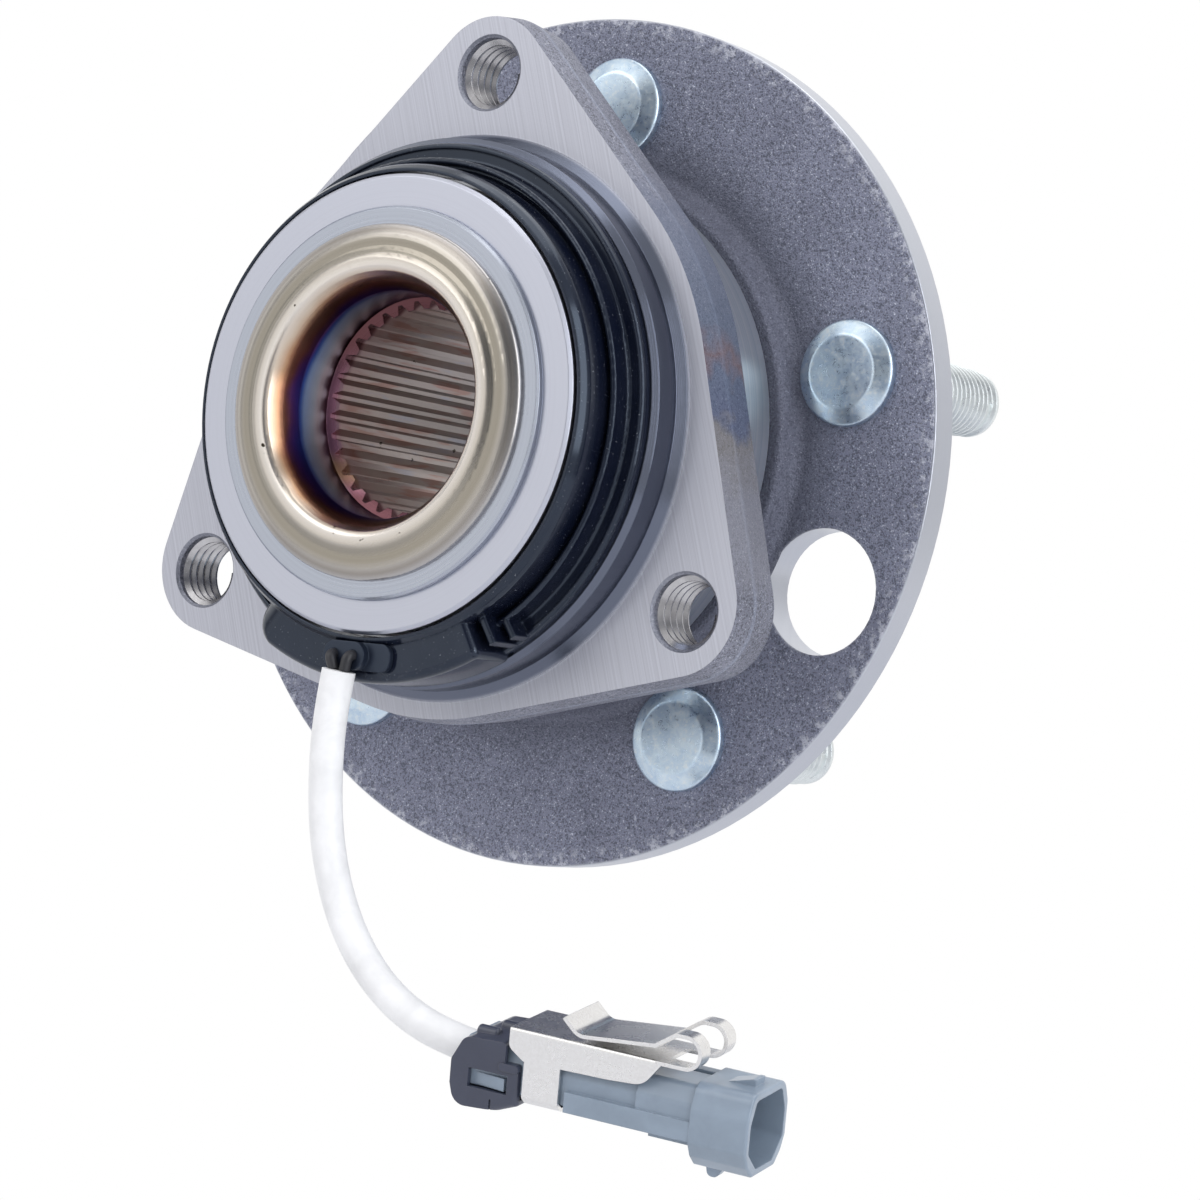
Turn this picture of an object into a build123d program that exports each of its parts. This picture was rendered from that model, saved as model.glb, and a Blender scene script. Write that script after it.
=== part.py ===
from build123d import *
from math import cos, radians, sin, tan
import os

# Wheel hub bearing with a toothed speed ring, a sensor and its lead.
# Millimetres. The axle lies along Y: +Y is the wheel side, -Y the knuckle and axle shaft side.
# y = 0 is the machined face that seats on the knuckle, and +Z points at the top knuckle bolt.
# Angles run from +X towards +Z.

# Rolling rows
ball_radius = 6.0
pitch_radius = 34.0
balls_per_row = 14
race_gap = 0.2
inboard_row = 1.5
row_spacing = 17.0
pocket_gap = 0.15
cage_band = 2.6
cage_back = 7.0
cage_front = 3.4

# Outer ring and knuckle flange
pilot_radius = 45.5
pilot_length = 7.3
pilot_chamfer = 0.9
pilot_flare = 1.7
barrel_wall = 4.6
ring_length = 35.3
shoulder_height = 2.6
knuckle_flange = 11.0
knuckle_bolt_circle = 115.0
knuckle_bolt_radius = 6.0
knuckle_bolt_chamfer = 0.5
lobe_radius = 11.5
lobe_setback = 2.0
web_radius = 50.0
forging_draft = 0.6
parting_place = 4.6

# Hub spindle and wheel flange
journal_radius = 24.0
spindle_waist = 0.8
seal_land_radius = 32.0
hub_boss_radius = 46.0
hub_boss_gap = 0.8
hub_boss_height = 3.4
wheel_flange_radius = 73.25
wheel_flange_thickness = 6.6
wheel_flange_chamfer = 1.0
forged_edge = 0.35
wheel_pilot_radius = 35.1
rotor_pilot_radius = 36.0
rotor_pilot_height = 6.2
wheel_pilot_height = 12.2
nut_pocket_radius = 27.5
nut_seat_rise = 2.2
rotor_relief = 0.5
wheel_bolt_circle = 115.0
wheel_bolt_count = 5
first_stud_angle = 13.7
access_hole_radius = 10.5
access_hole_rim = 3.65
access_hole_angle = -22.3

# Splined bore and roll-formed lip
axle_bore_radius = 18.6
bore_mouth = -17.3
spline_start = -9.9
spline_end = 36.0
spline_teeth = 33
spline_tip_radius = 16.8
spline_root_radius = 18.0
groove_mouth = 2.1
groove_floor = 0.7
lip_radius = 29.0
lip_crest = 2.5
lip_crest_inner = 21.5
lip_crest_outer = 23.6
lip_valley = 1.8
lip_valley_inner = 24.8
lip_valley_outer = 26.9
lip_edge_height = 0.8

# Wheel studs
stud_radius = 6.0
stud_knurl_radius = 6.35
stud_head_radius = 8.85
stud_head_height = 2.6
stud_head_chamfer = 1.3
stud_reach = 34.8
stud_tip_chamfer = 1.2

# Inner ring, tone ring and inboard seal
inner_ring_face = -20.4
inner_ring_radius = 31.95
inner_ring_end = 9.9
tone_face = -19.2
tone_rim_radius = 37.45
tone_bevel = 0.55
tone_rim_height = 1.8
tone_tooth_radius = 36.9
tone_tooth_depth = 2.4
tone_teeth = 47
tone_slot = 2.4
tone_length = 6.2
seal_sheet = 0.6
seal_case_grip = 3.2
outboard_case_radius = 36.0
inboard_case_radius = 34.2
slinger_face = -12.4
slinger_length = 3.6
slinger_radius = 36.4
seal_bore_radius = 37.1
lip_gap = 0.06

# Sensor
sleeve_sheet = 0.8
sleeve_grip = 2.3
sleeve_reach = 4.2
sensor_face = -18.3
sensor_lip = 0.5
outer_ridge_radius = 44.2
middle_ridge_radius = 41.2
middle_ridge_face = -12.7
inner_ridge_radius = 39.4
inner_ridge_face = -17.4
ridge_width = 1.0
ridge_edge = 0.45
block_radius = 45.2
block_face = -17.2
block_start = -125.0
block_end = -59.5
block_corner = 6.0
return_width = 1.3
inner_return_angle = -56.6
middle_return_angle = -53.6
sensor_angle = -92.0
sensor_height = -13.6
pole_radius = 1.2
pole_gap = 0.6
coil_radius = 2.7
coil_core = 1.7
coil_length = 3.6
bobbin_flange = 0.5
magnet_radius = 1.8
magnet_length = 1.2

# Lead, from the grommet on the sensor to the connector
lead_diameter = 5.5
lead_plane = -20.7
wire_radius = 0.9
wire_spacing = 3.8
wire_spacing_in_lead = 2.1
grommet_x = -1.9
grommet_z = -41.0
grommet_length = 8.4
grommet_width = 4.6
grommet_rise = 1.4
grommet_base = 1.0
grommet_base_length = 13.0
lead_start_z = -43.6

# Connector, in its own frame: x towards the open socket, z up through the clip
connector_x = 29.8
connector_y = -20.3
connector_z = -101.4
connector_turn = Rotation(0, 0, 9.0) * Rotation(0, 4.3, 0) * Rotation(11.3, 0, 0)
connector_length = 53.4
socket_half_width = 7.2
socket_half_height = 6.6
socket_length = 9.6
socket_depth = 12.0
socket_step = 8.6
socket_wall = 1.1
fin_drop = 9.0
rail_top = 0.8
rail_height = 3.2
side_strip = 0.9
shoulder_length = 9.4
keel_length = 8.4
body_half_width = 6.2
body_top = 5.6
body_bottom = -2.5
band_seat = -1.9
body_start = 4.5
lead_rise = 2.1
lead_level = 1.6
lead_slope = -0.1
lead_seat = 5.0
lead_end_gap = 0.3
seal_seat_radius = 3.1
seal_seat_length = 3.6
lead_bend = -1.5
blade_start = 14.0
blade_spacing = 4.6
blade_width = 1.5
blade_thickness = 0.8
blade_reach = 5.6
cap_start = 2.9
cap_half_width = 7.3
cap_top = 6.4
cap_bottom = -5.2
cap_length = 11.8
cap_step = 2.5
cap_wall = 1.1
cap_hole_gap = 0.3
cap_collar = 3.4
clip_sheet = 0.6
clip_start = 12.6
clip_end = 38.4
clip_gap = 0.4
clip_drop = 4.8
clip_width = 12.0
band_start = 15.4
band_end = 21.6
loop_end = 44.6
loop_radius = 2.45
tongue_start = 21.3
leg_width = 3.0

# Worked out from the values above
outboard_row = inboard_row + row_spacing
race_radius = ball_radius + race_gap
bore_radius = pitch_radius + race_radius
barrel_radius = bore_radius + barrel_wall
shoulder_radius = bore_radius - shoulder_height
ring_start = -pilot_length
ring_end = ring_start + ring_length
boss_face = ring_end + hub_boss_gap
flange_back = boss_face + hub_boss_height
flange_front = flange_back + wheel_flange_thickness
nut_seat = flange_front + nut_seat_rise
race_floor_radius = pitch_radius - race_radius
waist_radius = race_floor_radius + spindle_waist
knuckle_bolt_place = knuckle_bolt_circle / 2
wheel_bolt_place = wheel_bolt_circle / 2
access_hole_place = wheel_flange_radius - access_hole_rim - access_hole_radius
connector_place = Location((connector_x, connector_y, connector_z)) * connector_turn
cage_radius = (inner_ring_radius + shoulder_radius - cage_band) / 2
sleeve_radius = seal_bore_radius + sleeve_sheet
sleeve_face = ring_start - sleeve_sheet


# Common helpers

def section(*corners):
    # Closed outline through (x, y) or (x, y, corner radius) points
    points = [corner[:2] for corner in corners]
    radii = [corner[2] if len(corner) == 3 else 0 for corner in corners]
    return make_face(FilletPolyline(*points, radius=radii, close=True))


def turned(*corners):
    # Ring or disc about the axle, from (radius, y) points
    return revolve(section(*corners), Axis.Y)


def around(angle):
    # Turn about the axle that brings +X to this angle
    return Rotation(0, -angle, 0)


def across(y):
    # Plane square to the axle at this height, its normal inboard and its y axis up
    return Plane.XZ.offset(-y)


def polar_place(radius, angle):
    return radius * cos(radians(angle)), radius * sin(radians(angle))


def bar(radius, start, end, place=(0, 0)):
    # Round bar along the axle from start to end
    return extrude(across(end) * Pos(*place) * Circle(radius), amount=end - start)


def ball_groove(row):
    # Ring of ball path with its running gap
    return revolve(Pos(pitch_radius, row) * Circle(race_radius), Axis.Y)


def stud_angles():
    return [first_stud_angle + 360 / wheel_bolt_count * n for n in range(wheel_bolt_count)]


# Outer ring: barrel, two ball paths and the three-hole knuckle flange

def knuckle_outline(grow):
    discs = [Circle(web_radius + grow)]
    for angle in (90, 210, 330):
        place = polar_place(knuckle_bolt_place - lobe_setback, angle)
        discs.append(Pos(*place) * Circle(lobe_radius + grow))
    return make_hull([disc.edge() for disc in discs])


def knuckle_plate():
    # Forged edge that leans out to its parting line
    parting = across(parting_place) * knuckle_outline(forging_draft)
    faces = [across(0) * knuckle_outline(0), parting]
    faces.append(across(knuckle_flange) * knuckle_outline(0))
    return loft(faces[:2], ruled=True) + loft(faces[1:], ruled=True)


def knuckle_hole(angle):
    place = polar_place(knuckle_bolt_place, angle)
    mouth = knuckle_bolt_radius + knuckle_bolt_chamfer
    hole = bar(knuckle_bolt_radius, 0, knuckle_flange, place)
    for y, side in ((0, 1), (knuckle_flange, -1)):
        cone = section((0, y), (mouth, y), (knuckle_bolt_radius, y + side * knuckle_bolt_chamfer),
                       (0, y + side * knuckle_bolt_chamfer))
        hole += Pos(place[0], 0, place[1]) * revolve(cone, Axis.Y)
    return hole


def make_outer_ring():
    fillet_foot = barrel_radius + 4.2
    barrel = turned(
        (bore_radius, ring_start), (pilot_radius - pilot_chamfer, ring_start),
        (pilot_radius, ring_start + pilot_chamfer), (pilot_radius, -pilot_flare),
        (pilot_radius + pilot_flare, 0), (fillet_foot, 0), (fillet_foot, knuckle_flange),
        (barrel_radius, knuckle_flange, 3.5), (barrel_radius, ring_end - 0.8),
        (barrel_radius - 0.8, ring_end), (bore_radius, ring_end), (bore_radius, outboard_row),
        (shoulder_radius, outboard_row), (shoulder_radius, inboard_row), (bore_radius, inboard_row))
    plate = knuckle_plate() - bar(barrel_radius + 0.5, 0, knuckle_flange)
    ring = plate + barrel
    for row in (inboard_row, outboard_row):
        ring -= ball_groove(row)
    for angle in (90, 210, 330):
        ring -= knuckle_hole(angle)
    return ring


# Hub spindle: roll-formed lip, journal, outboard ball path and wheel flange

def spindle_blank():
    return turned(
        (axle_bore_radius, bore_mouth), (axle_bore_radius + 1.3, bore_mouth - 3.3, 6.0),
        (lip_crest_inner, inner_ring_face - lip_crest, 1.5),
        (lip_crest_outer, inner_ring_face - lip_crest, 1.8),
        (lip_valley_inner, inner_ring_face - lip_valley, 1.5),
        (lip_valley_outer, inner_ring_face - lip_valley, 2.0),
        (lip_radius, inner_ring_face - lip_edge_height, 0.7), (lip_radius, inner_ring_face),
        (journal_radius, inner_ring_face), (journal_radius, inner_ring_end),
        (waist_radius, inner_ring_end), (waist_radius, outboard_row),
        (seal_land_radius, outboard_row), (seal_land_radius, boss_face, 1.6),
        (hub_boss_radius, boss_face, 1.2), (hub_boss_radius + 1.8, flange_back, 2.4),
        (wheel_flange_radius - forged_edge, flange_back),
        (wheel_flange_radius, flange_back + forged_edge),
        (wheel_flange_radius, flange_front - wheel_flange_chamfer),
        (wheel_flange_radius - wheel_flange_chamfer, flange_front),
        (hub_boss_radius, flange_front), (hub_boss_radius - rotor_relief, flange_front - rotor_relief),
        (rotor_pilot_radius, flange_front - rotor_relief),
        (rotor_pilot_radius, flange_front + rotor_pilot_height),
        (wheel_pilot_radius, flange_front + rotor_pilot_height + 0.3),
        (wheel_pilot_radius, flange_front + wheel_pilot_height - 1.2),
        (wheel_pilot_radius - 1.2, flange_front + wheel_pilot_height),
        (nut_pocket_radius + 0.8, flange_front + wheel_pilot_height),
        (nut_pocket_radius, flange_front + wheel_pilot_height - 0.8),
        (nut_pocket_radius, nut_seat, 1.0), (axle_bore_radius + 0.6, nut_seat),
        (axle_bore_radius, nut_seat - 0.6))


def spline_cut():
    # Bore of the spline: the tip circle with one tapered groove between each pair of teeth
    inner = spline_tip_radius - 0.4
    groove = make_face(Polyline(
        (inner, -groove_mouth / 2), (spline_tip_radius, -groove_mouth / 2),
        (spline_root_radius, -groove_floor / 2), (spline_root_radius, groove_floor / 2),
        (spline_tip_radius, groove_mouth / 2), (inner, groove_mouth / 2), close=True))
    outline = Circle(spline_tip_radius)
    for n in range(spline_teeth):
        outline += Rot(0, 0, 360 / spline_teeth * n) * groove
    return extrude(across(nut_seat) * outline, amount=nut_seat - bore_mouth)


def make_hub_spindle():
    hub = spindle_blank()
    core = turned(
        (spline_tip_radius - 1.0, spline_start + 1.6), (axle_bore_radius, spline_start),
        (axle_bore_radius + 0.5, spline_start), (axle_bore_radius + 0.5, spline_end),
        (axle_bore_radius, spline_end), (spline_tip_radius - 1.0, spline_end - 1.6))
    hub += core - spline_cut()
    hub -= ball_groove(outboard_row)
    for angle in stud_angles():
        place = polar_place(wheel_bolt_place, angle)
        hub -= bar(stud_knurl_radius, flange_back, flange_front, place)
    place = polar_place(access_hole_place, access_hole_angle)
    return hub - bar(access_hole_radius, flange_back, flange_front, place)


# Wheel studs

def wheel_stud():
    tip = flange_front + stud_reach
    head = flange_back - stud_head_height
    chamfer = stud_head_chamfer
    return turned(
        (0, head), (stud_head_radius - 2 * chamfer, head), (stud_head_radius, head + chamfer),
        (stud_head_radius, flange_back), (stud_knurl_radius, flange_back),
        (stud_knurl_radius, flange_front - 0.5), (stud_radius, flange_front - 0.1),
        (stud_radius, tip - stud_tip_chamfer), (stud_radius - stud_tip_chamfer, tip), (0, tip))


def make_wheel_studs():
    studs = []
    for angle in stud_angles():
        x, z = polar_place(wheel_bolt_place, angle)
        studs.append(Pos(x, 0, z) * wheel_stud())
    return Compound(children=studs)


# Inner ring, with its high shoulder towards the lip

def make_inner_ring():
    blank = turned(
        (journal_radius, inner_ring_face), (inner_ring_radius - 0.4, inner_ring_face),
        (inner_ring_radius, inner_ring_face + 0.4), (inner_ring_radius, inboard_row),
        (waist_radius, inboard_row), (waist_radius, inner_ring_end), (journal_radius, inner_ring_end))
    return blank - ball_groove(inboard_row)


# Balls and their snap-in cages

def ball_places(row):
    step = 360 / balls_per_row
    return [around(step * n) * Pos(pitch_radius, row, 0) for n in range(balls_per_row)]


def make_balls(row):
    return Compound(children=[place * Sphere(ball_radius) for place in ball_places(row)])


def make_cage(row, side):
    # side is -1 where the closed back of the cage faces inboard
    back = row + side * cage_back
    front = row - side * cage_front
    cage = turned((cage_radius, back), (cage_radius + cage_band, back),
                  (cage_radius + cage_band, front), (cage_radius, front))
    pocket = Rot(0, 90, 0) * Cylinder(ball_radius + pocket_gap, 3 * cage_band)
    for place in ball_places(row):
        cage -= place * pocket
    return cage


# Outboard seal, between the outer ring's bore and the seal land of the spindle

def make_outboard_seal_case():
    outer = ring_end - seal_sheet - 0.4
    return turned(
        (bore_radius, outer - seal_case_grip), (bore_radius, outer + seal_sheet),
        (outboard_case_radius, outer + seal_sheet), (outboard_case_radius, outer),
        (bore_radius - seal_sheet, outer, 0.3), (bore_radius - seal_sheet, outer - seal_case_grip))


def make_outboard_seal_lip():
    outer = ring_end - seal_sheet - 0.4
    land = seal_land_radius + lip_gap
    return turned(
        (outboard_case_radius, outer), (outboard_case_radius, outer + seal_sheet),
        (outboard_case_radius + 0.8, outer + seal_sheet), (outboard_case_radius + 1.6, boss_face - lip_gap),
        (outboard_case_radius + 0.9, boss_face - lip_gap), (outboard_case_radius - 0.6, outer + seal_sheet),
        (land + 1.94, outer + seal_sheet), (land, boss_face - 1.7), (land, outer + 0.3),
        (land + 0.94, outer - 0.3), (land, outer - 1.0), (land, outer - 1.5), (land + 1.94, outer - 0.7))


# Inboard cassette seal: slinger on the inner ring, case and lips in the sensor sleeve

def make_inboard_slinger():
    outer = inner_ring_radius + seal_sheet
    return turned(
        (inner_ring_radius, slinger_face), (slinger_radius, slinger_face),
        (slinger_radius, slinger_face + seal_sheet), (outer, slinger_face + seal_sheet, 0.3),
        (outer, slinger_face + slinger_length), (inner_ring_radius, slinger_face + slinger_length))


def make_inboard_seal_case():
    outer = slinger_face + slinger_length - 0.2
    inner = outer - seal_sheet
    return turned(
        (seal_bore_radius, slinger_face + 0.2), (seal_bore_radius, outer), (inboard_case_radius, outer),
        (inboard_case_radius, inner), (seal_bore_radius - seal_sheet, inner),
        (seal_bore_radius - seal_sheet, slinger_face + 0.2))


def make_inboard_seal_lip():
    outer = slinger_face + slinger_length - 0.2
    inner = outer - seal_sheet
    land = inner_ring_radius + seal_sheet + lip_gap
    face = slinger_face + seal_sheet + lip_gap
    return turned(
        (inboard_case_radius, outer), (inboard_case_radius, inner), (inboard_case_radius + 1.4, inner),
        (inboard_case_radius + 1.4, inner - 0.4), (inboard_case_radius + 1.7, face),
        (inboard_case_radius + 1.1, face), (inboard_case_radius + 0.4, inner - 0.5),
        (land + 0.99, inner - 0.7), (land, inner - 1.6), (land, inner - 1.0), (land + 0.59, inner),
        (land, outer - 0.2), (land, outer), (land + 0.99, outer))


# Toothed speed ring on the inner ring, with its wide bright face

def make_tone_ring():
    rim_back = tone_face + tone_rim_height
    back = tone_face + tone_length
    ring = turned(
        (inner_ring_radius, tone_face), (tone_rim_radius - tone_bevel, tone_face),
        (tone_rim_radius, tone_face + tone_bevel), (tone_rim_radius, rim_back),
        (tone_tooth_radius, rim_back), (tone_tooth_radius, back), (inner_ring_radius, back))
    x = tone_tooth_radius + 0.5 - tone_tooth_depth / 2
    height = back - rim_back
    slot = Pos(x, rim_back + height / 2, 0) * Box(tone_tooth_depth, height, tone_slot)
    return ring - [around(360 / tone_teeth * n) * slot for n in range(tone_teeth)]


# Sensor: pressed steel sleeve, moulded ring with its block, and the pick-up inside the block

def make_sensor_sleeve():
    grip = bore_radius - sleeve_sheet
    end = ring_start + sleeve_grip
    reach = sleeve_face - sleeve_reach
    return turned(
        (seal_bore_radius, reach), (sleeve_radius, reach), (sleeve_radius, sleeve_face),
        (outer_ridge_radius - 0.7, sleeve_face), (outer_ridge_radius - 0.7, ring_start),
        (bore_radius, ring_start), (bore_radius, end), (grip, end), (grip, ring_start),
        (seal_bore_radius, ring_start))


def moulded_ring():
    # Stepped ring: inner ridge, middle ridge and a low rim, with grooves between them
    flat = sleeve_face - 0.6
    rim = outer_ridge_radius
    inner, middle = inner_ridge_radius, middle_ridge_radius
    return turned(
        (sleeve_radius, sensor_face), (sleeve_radius + sensor_lip, sensor_face),
        (inner - 0.3, inner_ridge_face, 0.3), (inner, inner_ridge_face + 0.7, ridge_edge),
        (inner, middle_ridge_face + 2.0, 0.5), (middle - ridge_width, middle_ridge_face + 2.0, 0.3),
        (middle - ridge_width, middle_ridge_face, ridge_edge), (middle, middle_ridge_face, ridge_edge),
        (middle, flat, 0.5), (rim - ridge_width, flat), (rim - ridge_width, flat - 0.5, 0.2),
        (rim - 0.3, flat - 0.5, 0.3), (rim, flat, 0.2), (rim, ring_start), (rim - 0.7, ring_start),
        (rim - 0.7, sleeve_face), (sleeve_radius, sleeve_face))


def moulded_block():
    # Smooth block that fills the ridges over the pick-up, its far corner well rounded
    face = section((sleeve_radius, sleeve_face), (sleeve_radius, block_face), (block_radius, block_face, 1.4),
                   (block_radius, sleeve_face))
    block = around(block_end) * revolve(face, Axis.Y, revolution_arc=block_end - block_start)
    uprights = block.edges().filter_by(Axis.Y).sort_by(Axis.X)
    block = fillet(uprights[0], block_corner)
    shoulders = block.faces().sort_by(Axis.Y)[0].edges()
    right = shoulders.filter_by(GeomType.LINE).sort_by(Axis.X)[-1]
    return fillet(right, 1.2)


def ridge_return(angle, start, face):
    # End of a ridge, turned out to the rim beside the block
    length = outer_ridge_radius - start
    rib = Pos(start + length / 2, (face + sleeve_face) / 2, 0) * Box(length, sleeve_face - face, return_width)
    crest = rib.faces().sort_by(Axis.Y)[0].edges()
    return around(angle) * fillet(crest.filter_by(Axis.X), ridge_edge)


def radial_bar(radius, start, length):
    # Round bar that points out from the axle through the pick-up
    bar_at_zero = Pos(start + length / 2, sensor_height, 0) * Rot(0, 90, 0) * Cylinder(radius, length)
    return around(sensor_angle) * bar_at_zero


def pick_up_places():
    # Radial places of the pole tip, coil and magnet
    tip = tone_tooth_radius + pole_gap
    spool = sleeve_radius + bobbin_flange
    spool_length = coil_length + 2 * bobbin_flange
    return tip, spool, spool_length, spool + spool_length


def make_sensor_pole():
    tip, spool, spool_length, magnet = pick_up_places()
    return radial_bar(pole_radius, tip, magnet - tip)


def make_sensor_bobbin():
    tip, spool, spool_length, magnet = pick_up_places()
    body = radial_bar(coil_radius + 0.1, spool, spool_length)
    winding = radial_bar(coil_radius + 0.1, spool + bobbin_flange, coil_length)
    core = radial_bar(coil_core, spool + bobbin_flange, coil_length)
    return body - (winding - core) - radial_bar(pole_radius, spool, spool_length)


def make_sensor_coil():
    tip, spool, spool_length, magnet = pick_up_places()
    start = spool + bobbin_flange
    return radial_bar(coil_radius, start, coil_length) - radial_bar(coil_core, start, coil_length)


def make_sensor_magnet():
    tip, spool, spool_length, magnet = pick_up_places()
    return radial_bar(magnet_radius, magnet, magnet_length)


def make_sensor_body():
    tip, spool, spool_length, magnet = pick_up_places()
    body = moulded_ring() + moulded_block()
    body += ridge_return(inner_return_angle, inner_ridge_radius - 0.6, inner_ridge_face + 2.0)
    body += ridge_return(middle_return_angle, middle_ridge_radius - 0.6, middle_ridge_face)
    body -= radial_bar(pole_radius, tip - 1, magnet - tip)
    body -= radial_bar(coil_radius + 0.1, spool, spool_length)
    return body - radial_bar(magnet_radius, magnet, magnet_length)


# Grommet and the two wires that pass from it into the lead

def make_lead_grommet():
    base_plane = across(block_face)
    place = Pos(grommet_x, grommet_z)
    base_shift = Pos(grommet_base_length / 2 - grommet_length / 2 - 0.4, 0)
    outline = RectangleRounded(grommet_base_length, grommet_width, 1.8)
    base = extrude(base_plane * place * base_shift * outline, amount=grommet_base)
    pad = extrude(base_plane * place * SlotOverall(grommet_length, grommet_width),
                  amount=grommet_base + grommet_rise)
    grommet = base + pad - moulded_ring()
    for side in (-1, 1):
        x = grommet_x + side * wire_spacing / 2
        mouth = block_face - grommet_base - grommet_rise
        grommet -= bar(wire_radius, mouth, mouth + 1.6, (x, grommet_z))
    return grommet


def make_sensor_wires():
    mouth = block_face - grommet_base - grommet_rise
    wires = []
    for side in (-1, 1):
        x = grommet_x + side * wire_spacing / 2
        end_x = lead_route()[0].X + side * wire_spacing_in_lead / 2
        path = FilletPolyline((x, mouth + 1.6, grommet_z), (x, lead_plane, grommet_z),
                              (end_x, lead_plane, lead_start_z), radius=[1.0])
        wires.append(sweep(Plane(path @ 0, z_dir=path % 0) * Circle(wire_radius), path))
    return Compound(children=wires)


# Lead

def lead_seat_point(distance):
    # Point on the lead's line into the connector, this far along it
    rise = lead_rise + lead_slope * (distance - lead_level)
    return (connector_place * Pos(distance, 0, rise)).position


def lead_route():
    start = Vector(-1.5, lead_plane, lead_start_z)
    hanging = [(-2.3, -20.7, -50.4), (-2.1, -20.7, -59.2), (-0.9, -20.7, -68.3), (2.0, -20.8, -77.2),
               (6.6, -20.9, -85.3), (12.9, -21.0, -91.8), (20.3, -21.3, -96.3)]
    points = [Vector(*place) for place in hanging]
    return [start, *points, lead_seat_point(lead_bend), lead_seat_point(lead_seat - lead_end_gap)]


def bend_radii(points):
    # As large as the two runs beside each corner allow
    radii = []
    for before, here, after in zip(points, points[1:], points[2:]):
        half_turn = radians((here - before).get_angle(after - here)) / 2
        shorter = min((here - before).length, (after - here).length)
        radii.append(0.45 * shorter / tan(half_turn))
    return radii


def make_lead_cable():
    points = lead_route()
    radii = bend_radii(points)
    path = FilletPolyline(*points, radius=radii)
    cable = sweep(Plane(path @ 0, z_dir=path % 0) * Circle(lead_diameter / 2), path)
    print("lead bend radii", [round(radius, 1) for radius in radii])
    print("lead length", round(path.length, 1))
    print("lead volume", round(cable.volume, 1), "section x length",
          round(Circle(lead_diameter / 2).area * path.length, 1))
    return cable


# Connector: moulded body with its open socket, blades, wire seal, rear cap and mounting clip

def connector_face(x):
    # Plane square to the connector's length, its x axis across and its y axis up
    return Plane(origin=(x, 0, 0), x_dir=(0, 1, 0), z_dir=(1, 0, 0))


def socket_outline(inset):
    width = socket_half_width - inset
    height = socket_half_height - inset
    right = [(width - 1.6, height, 2.2 - inset), (width, height - 3.6, 3.0 - inset), (width, 0.8),
             (width, -2.4, 1.2), (width - 1.2, -height + 1.9, 1.4 - inset / 2), (width - 3.2, -height, 1.0)]
    left = [(-corner[0], *corner[1:]) for corner in reversed(right)]
    return section(*right, *left)


def body_outline():
    wide = body_half_width
    return section(
        (-wide + 1.2, body_top, 1.0), (wide - 1.2, body_top, 1.0), (wide, body_top - 2.6, 1.0), (wide, -1.6),
        (wide - 1.6, body_bottom, 0.6), (-wide + 1.6, body_bottom, 0.6), (-wide, -1.6),
        (-wide, body_top - 2.6, 1.0))


def shoulder_outline():
    # Raised saddle over the body just behind the socket
    wide = body_half_width + 0.5
    top = body_top + 0.4
    return section((-wide, rail_top), (-wide, body_top - 2.4, 1.6), (-wide + 1.6, top, 1.2),
                   (wide - 1.6, top, 1.2), (wide, body_top - 2.4, 1.6), (wide, rail_top))


def side_rail(side):
    # Flat rail along the side, in line with the socket's flank
    start = band_end + 1.0
    end = connector_length - socket_length
    rail = Box(end - start, side_strip + 0.4, rail_height)
    y = side * (body_half_width + side_strip / 2 - 0.2)
    return Pos((start + end) / 2, y, rail_top - rail_height / 2) * rail


def latch_ramp(side):
    # Wedge that snaps into the cap's side window
    wedge = section((6.6, body_half_width - 0.4), (6.6, body_half_width), (12.2, body_half_width + 0.8),
                    (12.2, body_half_width - 0.4))
    ramp = Pos(0, 0, -1.5) * extrude(wedge, amount=2.0)
    return ramp if side > 0 else mirror(ramp, Plane.XZ)


def make_connector_body():
    socket_start = connector_length - socket_length
    body = extrude(connector_face(body_start) * body_outline(), amount=socket_start - body_start)
    shroud = extrude(connector_face(socket_start) * socket_outline(0), amount=socket_length)
    body += fillet(shroud.faces().sort_by(Axis.X)[-1].outer_wire().edges(), 0.4)
    body += extrude(connector_face(socket_start - shoulder_length) * shoulder_outline(),
                    amount=shoulder_length)
    # Deeper keel ahead of the socket, flat seat for the clip's band and a narrow slot on top
    body += Pos(socket_start - keel_length / 2, 0, body_bottom) * Box(keel_length, 6.4, 3.4)
    band_length = band_end - band_start + 0.6
    body -= Pos((band_start + band_end) / 2, 0, band_seat - 1) * Box(band_length, 3 * body_half_width, 2)
    body -= Pos(socket_start - 4.4, 2.0, body_top) * Box(8.6, 1.6, 2.4)
    for side in (-1, 1):
        body += side_rail(side) + latch_ramp(side)
    # Locking ramp on top of the socket and index fin below it
    ramp = section((connector_length - 7.4, socket_half_height - 0.3),
                   (connector_length - 2.4, socket_half_height + 1.1, 0.3),
                   (connector_length - 1.8, socket_half_height + 1.1),
                   (connector_length - 1.8, socket_half_height - 0.3))
    body += extrude(Plane.XZ.offset(-1.6) * ramp, amount=3.2)
    fin_top = -socket_half_height + 0.4
    fin_view = section((socket_start + 0.4, fin_top), (socket_start + 0.9, -fin_drop, 0.9),
                       (socket_start + 2.4, -fin_drop, 0.9), (socket_start + 4.4, fin_top))
    body += extrude(Plane.XZ.offset(-0.9) * fin_view, amount=1.8)
    body -= extrude(connector_face(connector_length - socket_step) * socket_outline(socket_wall),
                    amount=socket_step)
    body -= Pos(connector_length - socket_depth / 2, 0, 1.0) * Box(socket_depth, 8.8, 6.0)
    # Seat of the lead and its seal at the rear
    seat = Cylinder(seal_seat_radius, 2 * seal_seat_length, rotation=(0, 90, 0))
    body -= Pos(body_start, 0, lead_rise) * seat
    for side in (-1, 1):
        body -= blade(side)
    return body


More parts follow.
